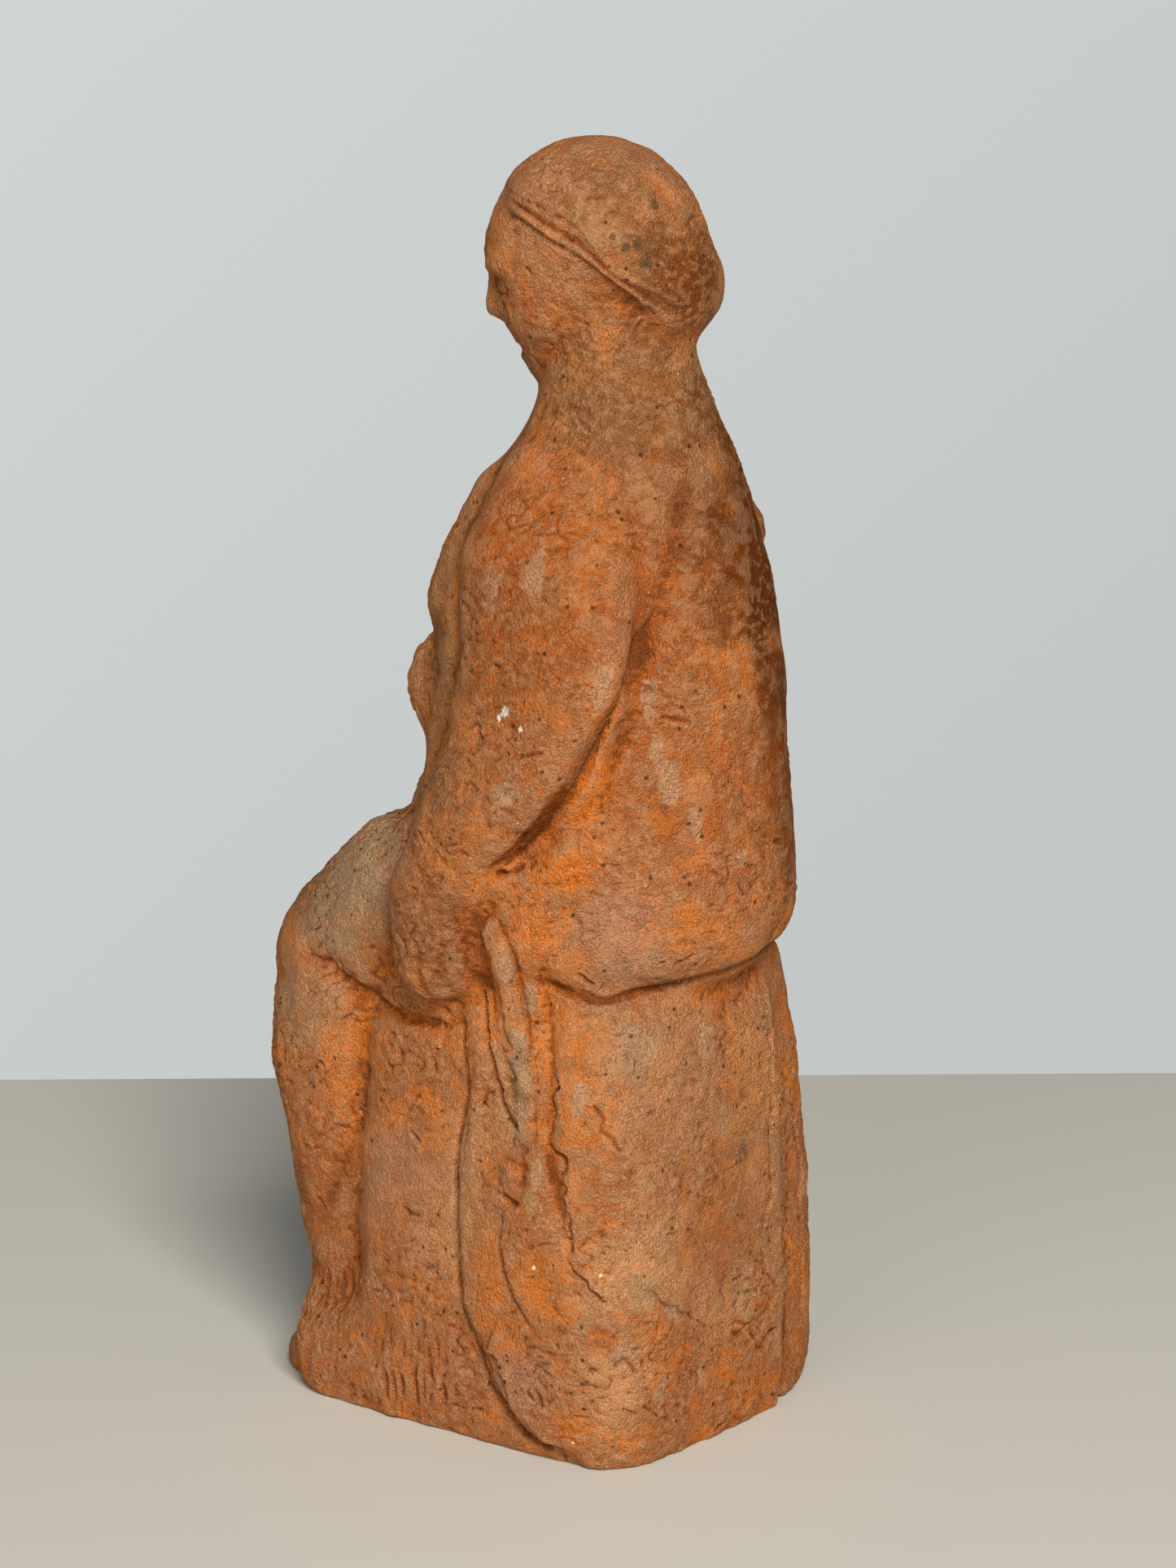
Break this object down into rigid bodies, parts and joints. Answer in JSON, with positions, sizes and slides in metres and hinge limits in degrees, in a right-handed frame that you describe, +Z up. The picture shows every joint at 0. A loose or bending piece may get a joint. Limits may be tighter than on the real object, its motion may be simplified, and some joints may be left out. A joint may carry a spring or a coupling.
{
  "type": "terracotta statuette",
  "caption": "Stout seated woman in fired clay on a tall block, one hand holding a cloth that hangs down the block, made as one piece.",
  "frame": {"origin": "middle of the block's flat underside", "axes": "+Z up from the underside to the crown, -Y the way the figure's body faces, +X towards its left hand"},
  "size_m": [0.1186, 0.1485, 0.3598],
  "materials": {
    "terracotta": "unglazed coarse orange terracotta with brown and grey-tan patches, fine grog, pores and dry tool marks"
  },
  "bodies": {
    "root": {"terracotta_figure": "terracotta"}
  },
  "joints": []
}
